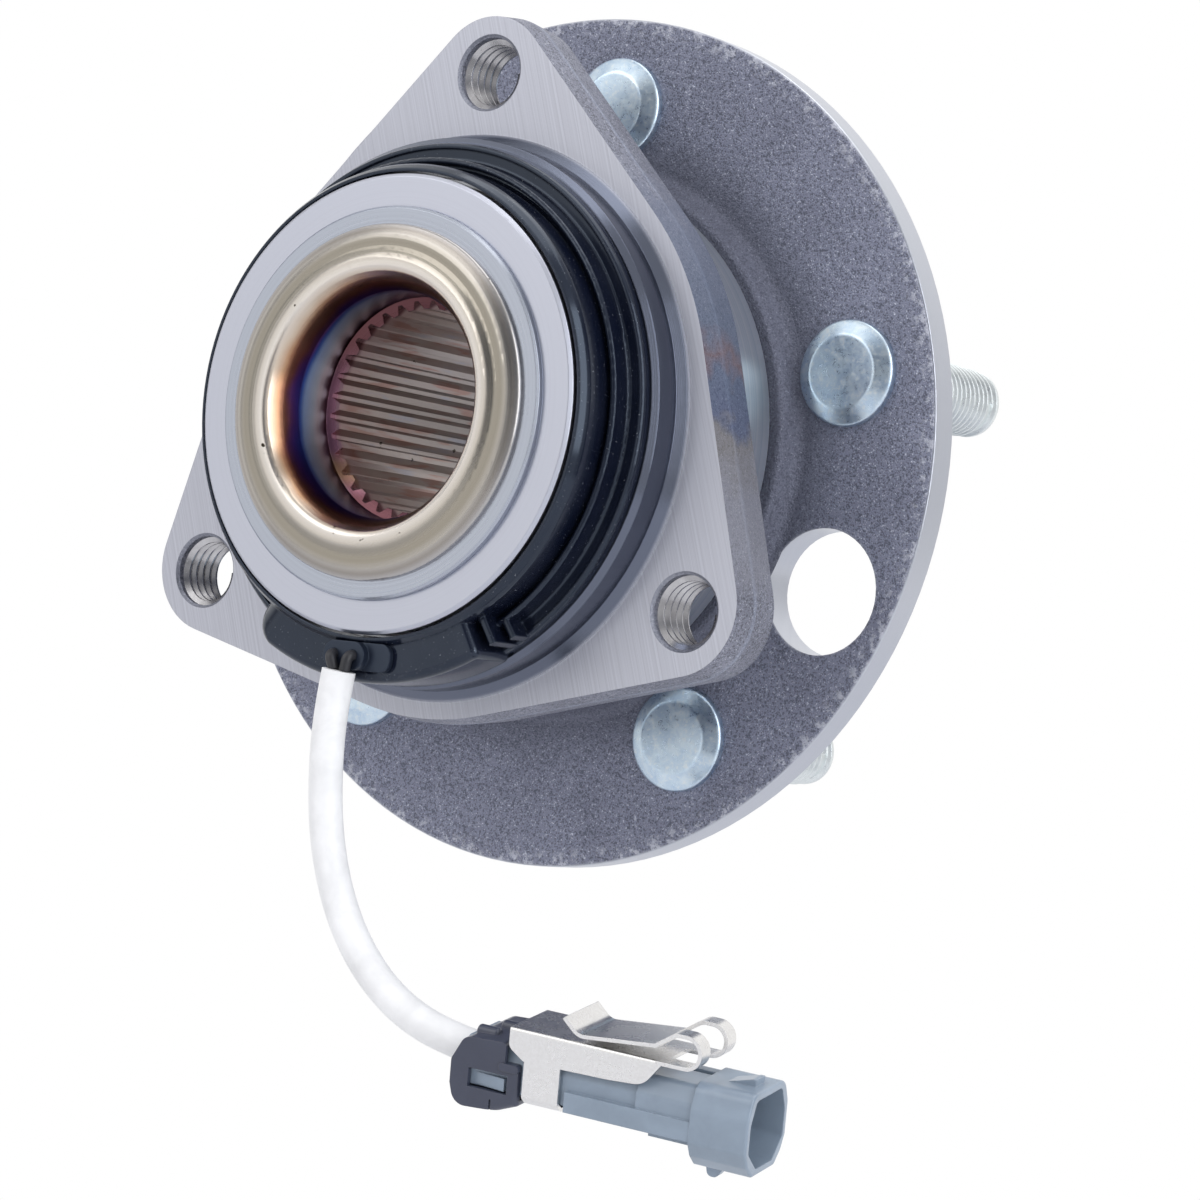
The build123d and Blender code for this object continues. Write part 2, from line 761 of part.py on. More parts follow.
def blade(side):
    end = connector_length - blade_reach
    flat = Box(end - blade_start, blade_width, blade_thickness)
    return Pos((blade_start + end) / 2, side * blade_spacing / 2, 0) * flat


def make_wire_seal():
    length = seal_seat_length - (lead_seat - body_start)
    ring = Cylinder(seal_seat_radius, length, rotation=(0, 90, 0))
    return Pos(lead_seat + length / 2, 0, lead_rise) * ring


def make_connector_cap():
    # Rear cap: rounded shell, raised collar in front, lugs on top and a window each side
    end = cap_start + cap_length
    roof_end = end - cap_step
    shell_view = section(
        (cap_start + 2.1, cap_top - 0.4, 2.0), (roof_end, cap_top, 0.6), (roof_end, 3.2), (end, 3.2, 0.6),
        (end, cap_bottom + 1.8, 0.6), (end - 3.2, cap_bottom + 0.5), (cap_start + 0.9, cap_bottom, 2.4),
        (cap_start, -1.8), (cap_start, 2.0, 1.0))
    shell = extrude(Plane.XZ.offset(-cap_half_width) * shell_view, amount=2 * cap_half_width)
    top_edges = shell.edges().filter_by(Axis.X).sort_by(Axis.Z)[-2:]
    cap = fillet(top_edges, 1.1)
    collar_view = section((end - cap_collar, 1.9, 0.5), (end - cap_collar, 3.2, 0.5), (end, 3.2, 0.5),
                          (end, 1.9, 0.5))
    cap += extrude(Plane.XZ.offset(-cap_half_width - 0.4) * collar_view, amount=2 * cap_half_width + 0.8)
    for x, y, length in ((cap_start + 4.2, -3.2, 3.8), (cap_start + 6.4, 1.4, 4.6)):
        lug = Pos(x, y, cap_top - 0.4) * Cylinder(1.1, length, rotation=(0, 90, 0))
        cap += fillet(lug.edges().filter_by(GeomType.CIRCLE), 0.5)
    cavity_top = body_top + 0.05
    cavity_height = cavity_top - body_bottom + 0.05
    cavity = Box(cap_length, 2 * body_half_width + 0.1, cavity_height)
    cap -= Pos(body_start - 0.02 + cap_length / 2, 0, cavity_top - cavity_height / 2) * cavity
    hole = Cylinder(lead_diameter / 2 + cap_hole_gap, 8.0, rotation=(0, 90, 0))
    cap -= Pos(cap_start, 0, lead_rise) * hole
    for side in (-1, 1):
        window = Box(6.8, 2 * cap_wall + 2, 3.0)
        cap -= Pos(cap_start + 6.5, side * cap_half_width, -0.3) * window
        seam = Box(0.3, 1.0, 1.8)
        cap -= Pos(cap_start + 7.2, side * (cap_half_width + 0.1), cap_bottom + 1.2) * seam
    return cap


def strip(points, width, centre):
    # Bent strip from its side view: a centre line of (x, z, bend radius) points
    line = FilletPolyline(*[point[:2] for point in points], radius=[point[2] for point in points[1:-1]])
    band = trace(line, line_width=clip_sheet)
    return extrude(Plane.XZ.offset(-centre - width / 2) * band, amount=width)


def clip_side_panel(top, side_y):
    # Side panel, seen along +Y, with a long rounded nose
    low = top - clip_drop + 0.6
    view = section(
        (clip_start, top), (clip_start, low + 1.6, 1.4), (clip_start + 2.6, low - 0.2, 0.8),
        (clip_start + 17.0, low + 0.1), (clip_end - 2.8, low + 0.5, 3.4), (clip_end, top))
    return extrude(Plane.XZ.offset(-side_y - clip_sheet / 2) * view, amount=clip_sheet)


def clip_band(top):
    # Band that drops from the panel and hugs the body from below
    wide = body_half_width + clip_gap + clip_sheet / 2
    low = band_seat - clip_gap - clip_sheet / 2
    line = FilletPolyline((-wide, top - clip_drop + 0.4), (-wide, -1.6), (-wide + 1.2, low),
                          (wide - 1.2, low), (wide, -1.6), (wide, 2.4), radius=[0.6, 0.8, 0.8, 0.6])
    band = trace(line, line_width=clip_sheet)
    return extrude(connector_face(band_start) * band, amount=band_end - band_start)


def clip_tongue(top, near_edge):
    # Two rolled loops at the plate's end that turn back into one sprung tongue
    level = top - clip_sheet / 2
    upper = level + 2 * loop_radius
    root = (clip_end - 1.6, level + 2.4)
    loop = [(clip_end - 1.0, level), (loop_end, level, loop_radius * 0.99),
            (loop_end, upper, loop_radius * 0.99), (clip_end + 2.0, upper, 2.0), root]
    tongue = [(root[0] + 0.4, root[1] + 0.04), (tongue_start + 2.6, level + 1.1, 2.6),
              (tongue_start, level + 3.5)]
    spring = strip(tongue, clip_width - 1.0, near_edge + clip_width / 2)
    for centre in (leg_width / 2, clip_width - leg_width / 2):
        spring += strip(loop, leg_width, near_edge + centre)
    return spring


def make_mounting_clip():
    top = body_top + 3.4
    side_y = -(body_half_width + clip_gap + clip_sheet / 2)
    near_edge = side_y - clip_sheet / 2
    plate = Box(clip_end - clip_start, clip_width, clip_sheet)
    plate = Pos((clip_start + clip_end) / 2, near_edge + clip_width / 2, top - clip_sheet / 2) * plate
    bend = plate.edges().filter_by(Axis.X).group_by(Axis.Z)[-1].sort_by(Axis.Y)[0]
    clip = fillet(bend, 0.5) + clip_side_panel(top - 0.55, side_y)
    return clip + clip_tongue(top, near_edge) + clip_band(top)


# All nodes

def make_all():
    nodes = {
        "outer_ring": make_outer_ring(),
        "hub_spindle": make_hub_spindle(),
        "wheel_studs": make_wheel_studs(),
        "inner_ring": make_inner_ring(),
        "inboard_balls": make_balls(inboard_row),
        "outboard_balls": make_balls(outboard_row),
        "inboard_cage": make_cage(inboard_row, -1),
        "outboard_cage": make_cage(outboard_row, 1),
        "outboard_seal_case": make_outboard_seal_case(),
        "outboard_seal_lip": make_outboard_seal_lip(),
        "inboard_slinger": make_inboard_slinger(),
        "inboard_seal_case": make_inboard_seal_case(),
        "inboard_seal_lip": make_inboard_seal_lip(),
        "tone_ring": make_tone_ring(),
        "sensor_sleeve": make_sensor_sleeve(),
        "sensor_body": make_sensor_body(),
        "sensor_pole": make_sensor_pole(),
        "sensor_bobbin": make_sensor_bobbin(),
        "sensor_coil": make_sensor_coil(),
        "sensor_magnet": make_sensor_magnet(),
        "lead_grommet": make_lead_grommet(),
        "sensor_wires": make_sensor_wires(),
        "lead_cable": make_lead_cable(),
        "connector_body": connector_place * make_connector_body(),
        "connector_blades": connector_place * Compound(children=[blade(-1), blade(1)]),
        "wire_seal": connector_place * make_wire_seal(),
        "connector_cap": connector_place * make_connector_cap(),
        "mounting_clip": connector_place * make_mounting_clip(),
    }
    return nodes


os.makedirs("parts", exist_ok=True)
for name, shape in make_all().items():
    export_step(shape, f"parts/{name}.step")
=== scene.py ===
from math import cos, radians, sin
import bpy
from mathutils import Matrix, Vector


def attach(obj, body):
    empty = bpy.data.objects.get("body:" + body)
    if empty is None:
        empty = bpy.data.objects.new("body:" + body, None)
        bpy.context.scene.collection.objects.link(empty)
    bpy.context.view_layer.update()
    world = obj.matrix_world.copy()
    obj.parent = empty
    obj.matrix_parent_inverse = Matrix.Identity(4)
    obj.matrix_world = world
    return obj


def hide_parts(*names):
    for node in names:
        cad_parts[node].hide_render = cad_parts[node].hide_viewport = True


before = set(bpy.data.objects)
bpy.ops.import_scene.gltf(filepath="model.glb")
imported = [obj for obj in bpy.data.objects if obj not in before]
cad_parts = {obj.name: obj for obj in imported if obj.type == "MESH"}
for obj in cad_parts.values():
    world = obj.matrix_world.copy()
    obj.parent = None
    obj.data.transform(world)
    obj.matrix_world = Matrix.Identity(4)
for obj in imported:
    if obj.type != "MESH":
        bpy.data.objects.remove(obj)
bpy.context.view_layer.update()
mm = 0.001
mergeGap = 0.001 * mm
smoothAngle = radians(32)
turnedSteps = 64
woundSteps = 40
print("frame loaded:", len(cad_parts), "nodes")


# Small helpers for objects

def deselectAll():
    if bpy.context.mode != "OBJECT":
        bpy.ops.object.mode_set(mode="OBJECT")
    bpy.ops.object.select_all(action="DESELECT")


def activate(piece):
    deselectAll()
    piece.select_set(True)
    bpy.context.view_layer.objects.active = piece


def settle(piece):
    # The object goes to the origin and its place into its mesh
    activate(piece)
    bpy.ops.object.transform_apply(location=True, rotation=True, scale=True)


def applyModifiers(piece):
    activate(piece)
    for modifier in list(piece.modifiers):
        bpy.ops.object.modifier_apply(modifier=modifier.name)


def paint(piece, material):
    piece.data.materials.clear()
    piece.data.materials.append(material)


def traceProfile(name, places):
    # Chain of edges through (radius, height) places in millimetres, beside the axle's line
    deselectAll()
    bpy.ops.mesh.primitive_plane_add(size=mm, location=(0, 0, 0))
    piece = bpy.context.active_object
    piece.name = name
    bpy.ops.object.mode_set(mode="EDIT")
    bpy.ops.mesh.select_all(action="SELECT")
    bpy.ops.mesh.merge(type="CENTER")
    bpy.ops.transform.translate(value=(places[0][0] * mm, places[0][1] * mm, 0))
    for before, after in zip(places, places[1:]):
        step = ((after[0] - before[0]) * mm, (after[1] - before[1]) * mm, 0)
        bpy.ops.mesh.extrude_vertices_move(TRANSFORM_OT_translate={"value": step})
    bpy.ops.object.mode_set(mode="OBJECT")
    return piece


def turnProfile(piece, steps, pitch=0.0, turns=1):
    # Turned about the axle's line, or wound along it with a pitch
    winding = piece.modifiers.new("turned", "SCREW")
    winding.axis = "Y"
    winding.steps = winding.render_steps = steps
    winding.screw_offset = pitch * mm
    winding.iterations = turns
    winding.use_merge_vertices = True
    winding.merge_threshold = mergeGap
    applyModifiers(piece)
    bpy.ops.object.mode_set(mode="EDIT")
    bpy.ops.mesh.select_all(action="SELECT")
    bpy.ops.mesh.remove_doubles(threshold=mergeGap)
    bpy.ops.mesh.fill_holes(sides=6)
    bpy.ops.mesh.select_all(action="SELECT")
    bpy.ops.mesh.normals_make_consistent(inside=False)
    bpy.ops.object.mode_set(mode="OBJECT")
    bpy.ops.object.shade_smooth_by_angle(angle=smoothAngle)


def threadRidge(name, foot, crest, pitch, start, turns):
    # Helical ridge with a flat crest, its feet buried in the metal beside it
    side = 0.44 * pitch
    flat = 0.09 * pitch
    piece = traceProfile(name, [(foot, start - side), (crest, start - flat), (crest, start + flat),
                                (foot, start + side)])
    bpy.ops.object.mode_set(mode="EDIT")
    bpy.ops.mesh.select_all(action="SELECT")
    bpy.ops.mesh.edge_face_add()
    bpy.ops.mesh.delete(type="ONLY_FACE")
    bpy.ops.object.mode_set(mode="OBJECT")
    turnProfile(piece, woundSteps, pitch, turns)
    return piece


def copyTo(piece, name, place):
    # Copy with its own mesh, moved to this place
    twin = piece.copy()
    twin.data = piece.data.copy()
    twin.name = name
    bpy.context.scene.collection.objects.link(twin)
    twin.location = place
    settle(twin)
    return twin


def joinPieces(pieces):
    deselectAll()
    for piece in pieces:
        piece.select_set(True)
    bpy.context.view_layer.objects.active = pieces[0]
    bpy.ops.object.join()
    return pieces[0]


def polarPlace(radius, angle):
    return radius * cos(radians(angle)) * mm, 0, radius * sin(radians(angle)) * mm


# Small helpers for shader nodes

coatRoughness = 0.14
roundSamples = 6
rubSamples = 4


def feed(tree, socket, value):
    # Links an output into the socket, or sets its value; a colour is three numbers
    if isinstance(value, bpy.types.NodeSocket):
        tree.links.new(value, socket)
    elif socket.type == "RGBA":
        socket.default_value = (*value, 1.0)
    else:
        socket.default_value = value


def addNode(tree, kind, settings=None, inputs=None):
    made = tree.nodes.new(kind)
    for key, value in (settings or {}).items():
        setattr(made, key, value)
    for key, value in (inputs or {}).items():
        feed(tree, made.inputs[key], value)
    return made


def maths(tree, operation, first, second=0.0, third=0.0):
    return addNode(tree, "ShaderNodeMath", {"operation": operation}, {0: first, 1: second, 2: third}).outputs[0]


def times(tree, first, second):
    return maths(tree, "MULTIPLY", first, second)


def stepUp(tree, value, low, high):
    # 0 below low, 1 above high, smooth between; low above high gives a step down
    inputs = {"Value": value, "From Min": low, "From Max": high}
    return addNode(tree, "ShaderNodeMapRange", {"interpolation_type": "SMOOTHSTEP"}, inputs).outputs["Result"]


def spread(tree, value, low, high, fromLow=0.0, fromHigh=1.0):
    inputs = {"Value": value, "From Min": fromLow, "From Max": fromHigh, "To Min": low, "To Max": high}
    return addNode(tree, "ShaderNodeMapRange", None, inputs).outputs["Result"]


def noise(tree, vector, scale, detail=3.0, rough=0.55, distortion=0.0):
    inputs = {"Vector": vector, "Scale": scale, "Detail": detail, "Roughness": rough, "Distortion": distortion}
    return addNode(tree, "ShaderNodeTexNoise", None, inputs).outputs["Fac"]


def lineNoise(tree, value, scale, detail=2.0, rough=0.6):
    # Noise along one measure, such as the radius, for turning marks
    inputs = {"W": value, "Scale": scale, "Detail": detail, "Roughness": rough}
    return addNode(tree, "ShaderNodeTexNoise", {"noise_dimensions": "1D"}, inputs).outputs["Fac"]


def mixColour(tree, mask, first, second):
    # The colour sockets of a mix node are inputs 6 and 7 and output 2
    return addNode(tree, "ShaderNodeMix", {"data_type": "RGBA"}, {0: mask, 6: first, 7: second}).outputs[2]


def mixValue(tree, mask, first, second):
    return addNode(tree, "ShaderNodeMix", {"data_type": "FLOAT"}, {0: mask, 2: first, 3: second}).outputs[0]


def ramp(tree, value, stops, low, high):
    # Colour ramp with its stops given in the measure's own units
    made = addNode(tree, "ShaderNodeValToRGB")
    tree.links.new(spread(tree, value, 0.0, 1.0, low, high), made.inputs["Fac"])
    elements = made.color_ramp.elements
    while len(elements) < len(stops):
        elements.new(0.5)
    for element, (at, colour) in zip(elements, stops):
        element.position = (at - low) / (high - low)
        element.color = (*colour, 1.0)
    return made.outputs["Color"]


def newGroup(name, inputs, outputs):
    tree = bpy.data.node_groups.new(name, "ShaderNodeTree")
    for label, kind, value in inputs:
        socket = tree.interface.new_socket(label, in_out="INPUT", socket_type=kind)
        socket.default_value = value
    for label, kind in outputs:
        tree.interface.new_socket(label, in_out="OUTPUT", socket_type=kind)
    return tree, tree.nodes.new("NodeGroupInput"), tree.nodes.new("NodeGroupOutput")


def useGroup(tree, group, inputs):
    return addNode(tree, "ShaderNodeGroup", {"node_tree": group}, inputs).outputs


def startMaterial(name, metallic, coat=0.0):
    material = bpy.data.materials.new(name)
    material.use_nodes = True
    shader = material.node_tree.nodes["Principled BSDF"]
    shader.inputs["Metallic"].default_value = metallic
    shader.inputs["Coat Weight"].default_value = coat
    shader.inputs["Coat Roughness"].default_value = coatRoughness
    return material, material.node_tree, shader


def finishMaterial(tree, shader, colour, rough, height=None, strength=0.2, distance=0.1, metallic=None,
                   roundEdge=0.0):
    # Distances in millimetres
    for key, value in (("Base Color", colour), ("Roughness", rough), ("Metallic", metallic)):
        if value is not None:
            feed(tree, shader.inputs[key], value)
    normal = None
    if roundEdge > 0:
        inputs = {"Radius": roundEdge * mm}
        normal = addNode(tree, "ShaderNodeBevel", {"samples": roundSamples}, inputs).outputs[0]
    if height is not None:
        inputs = {"Height": height, "Strength": strength, "Distance": distance * mm}
        if normal is not None:
            inputs["Normal"] = normal
        normal = addNode(tree, "ShaderNodeBump", None, inputs).outputs[0]
    if normal is not None:
        tree.links.new(normal, shader.inputs["Normal"])


def axesOf(tree, vector):
    # The vector's X, Y and Z, by name
    return addNode(tree, "ShaderNodeSeparateXYZ", None, {0: vector}).outputs


# Shader groups shared by the materials

def pointOf(tree):
    # Object coordinates in millimetres
    coordinates = addNode(tree, "ShaderNodeTexCoord").outputs["Object"]
    inputs = {0: coordinates, "Scale": 1 / mm}
    return addNode(tree, "ShaderNodeVectorMath", {"operation": "SCALE"}, inputs).outputs[0]


def makeAxlePlace():
    # Radius and height of a point about the axle
    inputs = [("Point", "NodeSocketVector", (0, 0, 0))]
    outputs = [("Radius", "NodeSocketFloat"), ("Height", "NodeSocketFloat")]
    tree, start, end = newGroup("axlePlace", inputs, outputs)
    split = axesOf(tree, start.outputs["Point"])
    squares = maths(tree, "ADD", times(tree, split["X"], split["X"]), times(tree, split["Z"], split["Z"]))
    tree.links.new(maths(tree, "SQRT", squares), end.inputs["Radius"])
    tree.links.new(split["Y"], end.inputs["Height"])
    return tree


def makeTurningMarks():
    # Fine rings left by turning and grinding, with a slow change round the part
    inputs = [("Radius", "NodeSocketFloat", 0.0), ("Height", "NodeSocketFloat", 0.0),
              ("Point", "NodeSocketVector", (0, 0, 0)), ("Pitch", "NodeSocketFloat", 0.1)]
    tree, start, end = newGroup("turningMarks", inputs,
                                [("Mark", "NodeSocketFloat"), ("Band", "NodeSocketFloat")])
    along = maths(tree, "MULTIPLY_ADD", start.outputs["Height"], 0.93, start.outputs["Radius"])
    wander = noise(tree, start.outputs["Point"], 0.03, 1.0)
    along = maths(tree, "MULTIPLY_ADD", wander, 0.25, along)
    scaled = maths(tree, "DIVIDE", along, start.outputs["Pitch"])
    tree.links.new(lineNoise(tree, scaled, 1.0, 3.0, 0.75), end.inputs["Mark"])
    tree.links.new(lineNoise(tree, along, 0.55, 2.0), end.inputs["Band"])
    return tree


def makeForgedSkin():
    # Shot-blasted forging: close pits with a scatter of bright peaks, which are partly painted glints
    inputs = [("Point", "NodeSocketVector", (0, 0, 0)), ("Grain", "NodeSocketFloat", 1.0)]
    tree, start, end = newGroup("forgedSkin", inputs,
                                [("Speck", "NodeSocketFloat"), ("Relief", "NodeSocketFloat"),
                                 ("Cloud", "NodeSocketFloat")])
    point, grain = start.outputs["Point"], start.outputs["Grain"]
    fine = noise(tree, point, times(tree, grain, 2.6), 2.0, 0.6)
    medium = noise(tree, point, times(tree, grain, 1.1), 3.0, 0.65)
    cells = addNode(tree, "ShaderNodeTexVoronoi", {"feature": "F1"},
                    {"Vector": point, "Scale": times(tree, grain, 1.9)}).outputs["Distance"]
    peaks = times(tree, stepUp(tree, fine, 0.56, 0.70), stepUp(tree, medium, 0.42, 0.62))
    relief = maths(tree, "MULTIPLY_ADD", cells, 0.5, maths(tree, "MULTIPLY_ADD", fine, 0.6, medium))
    tree.links.new(peaks, end.inputs["Speck"])
    tree.links.new(relief, end.inputs["Relief"])
    tree.links.new(noise(tree, point, 0.09, 3.0), end.inputs["Cloud"])
    return tree


def makeEdgeRubAndHighlight():
    # Where a sharp edge is near, broken up by noise, for worn edges and for painted edge highlights
    inputs = [("Point", "NodeSocketVector", (0, 0, 0)), ("Reach", "NodeSocketFloat", 0.4 * mm)]
    tree, start, end = newGroup("edgeRubAndHighlight", inputs, [("RubAndHighlight", "NodeSocketFloat")])
    reach = {"Radius": start.outputs["Reach"]}
    rounded = addNode(tree, "ShaderNodeBevel", {"samples": rubSamples}, reach).outputs[0]
    sharp = addNode(tree, "ShaderNodeNewGeometry").outputs["Normal"]
    same = addNode(tree, "ShaderNodeVectorMath", {"operation": "DOT_PRODUCT"}, {0: rounded, 1: sharp})
    edge = stepUp(tree, maths(tree, "SUBTRACT", 1.0, same.outputs["Value"]), 0.01, 0.12)
    broken = stepUp(tree, noise(tree, start.outputs["Point"], 0.8, 3.0), 0.35, 0.6)
    tree.links.new(times(tree, edge, broken), end.inputs["RubAndHighlight"])
    return tree


def makeSmudge():
    # Slow patches of handling marks and fine dust
    inputs = [("Point", "NodeSocketVector", (0, 0, 0)), ("Size", "NodeSocketFloat", 10.0)]
    tree, start, end = newGroup("smudge", inputs,
                                [("Patch", "NodeSocketFloat"), ("Dust", "NodeSocketFloat")])
    scale = maths(tree, "DIVIDE", 1.0, start.outputs["Size"])
    tree.links.new(noise(tree, start.outputs["Point"], scale, 4.0, 0.6, 0.4), end.inputs["Patch"])
    specks = noise(tree, start.outputs["Point"], 3.1, 1.0)
    tree.links.new(stepUp(tree, specks, 0.71, 0.78), end.inputs["Dust"])
    return tree


axlePlace = makeAxlePlace()
turningMarks = makeTurningMarks()
forgedSkin = makeForgedSkin()
edgeRubAndHighlight = makeEdgeRubAndHighlight()
smudge = makeSmudge()


def placeOf(tree):
    point = pointOf(tree)
    return point, useGroup(tree, axlePlace, {"Point": point})


def marksOf(tree, point, place, pitch):
    inputs = {"Radius": place["Radius"], "Height": place["Height"], "Point": point, "Pitch": pitch}
    return useGroup(tree, turningMarks, inputs)


def facingOf(tree):
    # How squarely a face looks along the axle
    normal = addNode(tree, "ShaderNodeNewGeometry").outputs["True Normal"]
    return maths(tree, "ABSOLUTE", axesOf(tree, normal)["Y"])


def turnedSteel(name, colour, rough, pitch=0.12, relief=0.08, edge=0.15, contrast=0.4):
    # Plain turned or ground steel
    material, tree, shader = startMaterial(name, 1.0)
    point, place = placeOf(tree)
    marks = marksOf(tree, point, place, pitch)
    patch = useGroup(tree, smudge, {"Point": point, "Size": 14.0})
    dark = tuple((1.0 - 0.5 * contrast) * part for part in colour)
    tint = mixColour(tree, spread(tree, marks["Mark"], 0.0, 1.0, 0.3, 0.7), dark, colour)
    gloss = maths(tree, "ADD", spread(tree, marks["Band"], rough * 0.85, rough * 1.2),
                  spread(tree, patch["Patch"], -0.03, 0.05))
    finishMaterial(tree, shader, tint, gloss, marks["Mark"], strength=relief, distance=0.02, roundEdge=edge)
    return material


# Where one finish of the hub gives way to the next, in millimetres, each pair from none to full
hubFinish = {
    "mouth": -17.3,
    "temper": (-36.0, 30.0),
    "boreWall": (23.0, 20.0),
    "toothEndStart": (7.2, 8.6),
    "toothEndStop": (12.4, 11.2),
    "lowTeeth": (11.0, 0.0),
    "strawStart": (-7.0, -10.0),
    "strawStop": (-14.0, -11.0),
    "bottomTeeth": (-11.0, -15.0),
    "spline": (8.5, 5.0),
    "lip": (10.0, 8.0),
    "boreRadius": (30.5, 29.5),
    "boreHeight": (37.0, 36.0),
    "forgedRadius": (33.0, 33.8),
    "forgedHeight": (32.9, 32.5),
    "rim": (73.2, 72.9),
    "wornRim": (69.5, 72.8),
    # Painted shade beside the barrel, full at the first radius and gone at the second
    "paintedShade": (49.0, 57.0),
}
# Temper colours, by the distance in millimetres from the crest of the lip into the bore
temperStops = [
    (-36.0, (0.34, 0.31, 0.30)), (-8.0, (0.36, 0.31, 0.29)), (2.0, (0.40, 0.33, 0.31)),
    (7.5, (0.44, 0.32, 0.31)), (9.4, (0.44, 0.20, 0.28)), (10.8, (0.28, 0.12, 0.18)),
    (12.1, (0.36, 0.29, 0.35)), (13.5, (0.44, 0.37, 0.41)), (14.9, (0.36, 0.39, 0.48)),
    (16.9, (0.26, 0.36, 0.60)), (18.0, (0.03, 0.09, 0.42)), (18.8, (0.10, 0.04, 0.26)),
    (19.4, (0.26, 0.10, 0.07)), (20.1, (0.44, 0.25, 0.14)), (20.9, (0.62, 0.52, 0.42)),
    (22.0, (0.76, 0.71, 0.66)), (23.2, (0.62, 0.57, 0.51)), (24.1, (0.36, 0.33, 0.28)),
    (26.0, (0.33, 0.30, 0.25)), (27.2, (0.46, 0.43, 0.39)), (28.0, (0.34, 0.31, 0.28)),
    (29.5, (0.58, 0.57, 0.58)),
]


def hubBoreColour(tree, radius, height, point):
    depth = maths(tree, "MAXIMUM", maths(tree, "SUBTRACT", height, hubFinish["mouth"]), 0.0)
    along = maths(tree, "SUBTRACT", radius, depth)
    wander = spread(tree, noise(tree, point, 0.09, 2.0), -0.9, 0.9)
    inside = stepUp(tree, radius, *hubFinish["boreWall"])
    along = maths(tree, "MULTIPLY_ADD", wander, inside, along)
    colour = ramp(tree, along, temperStops, *hubFinish["temper"])
    # Tooth ends: dark red above, then rose, straw below the middle, and dark red at the bottom
    split = axesOf(tree, point)
    atEnds = times(tree, stepUp(tree, along, *hubFinish["toothEndStart"]),
                   stepUp(tree, along, *hubFinish["toothEndStop"]))
    low = stepUp(tree, maths(tree, "MULTIPLY_ADD", wander, 3.0, split["Z"]), *hubFinish["lowTeeth"])
    upper = times(tree, atEnds, maths(tree, "SUBTRACT", 1.0, low))
    colour = mixColour(tree, upper, colour, (0.13, 0.055, 0.06))
    lower = maths(tree, "MULTIPLY_ADD", wander, 2.0, split["Z"])
    straw = times(tree, stepUp(tree, lower, *hubFinish["strawStart"]),
                  stepUp(tree, lower, *hubFinish["strawStop"]))
    straw = times(tree, atEnds, times(tree, straw, 0.6))
    colour = mixColour(tree, straw, colour, (0.30, 0.19, 0.05))
    under = times(tree, atEnds, stepUp(tree, lower, *hubFinish["bottomTeeth"]))
    colour = mixColour(tree, under, colour, (0.14, 0.06, 0.07))
    # Scorch spots on the lip
    spots = stepUp(tree, noise(tree, point, 0.42, 2.0, 0.5), 0.735, 0.755)
    colour = mixColour(tree, spots, colour, (0.05, 0.04, 0.03))
    # Teeth: brown and blue streaks along them
    inputs = {0: split["X"], 1: times(tree, split["Y"], 0.12), 2: split["Z"]}
    stretched = addNode(tree, "ShaderNodeCombineXYZ", None, inputs).outputs[0]
    streak = noise(tree, stretched, 0.7, 3.0)
    inSpline = stepUp(tree, along, *hubFinish["spline"])
    warm = times(tree, stepUp(tree, streak, 0.52, 0.66), times(tree, inSpline, 0.55))
    colour = mixColour(tree, warm, colour, (0.30, 0.13, 0.10))
    cool = times(tree, stepUp(tree, streak, 0.42, 0.30), times(tree, inSpline, 0.35))
    return mixColour(tree, cool, colour, (0.26, 0.30, 0.42)), along


def forgedColour(tree, skin, low, high, speck):
    colour = mixColour(tree, spread(tree, skin["Cloud"], 0.0, 1.0, 0.2, 0.8), low, high)
    pits = stepUp(tree, skin["Relief"], 1.04, 0.88)
    colour = mixColour(tree, times(tree, pits, 0.6), colour, tuple(0.3 * part for part in low))
    # Pale specks at the peaks, partly painted glints
    return mixColour(tree, times(tree, skin["Speck"], 0.8), colour, speck)


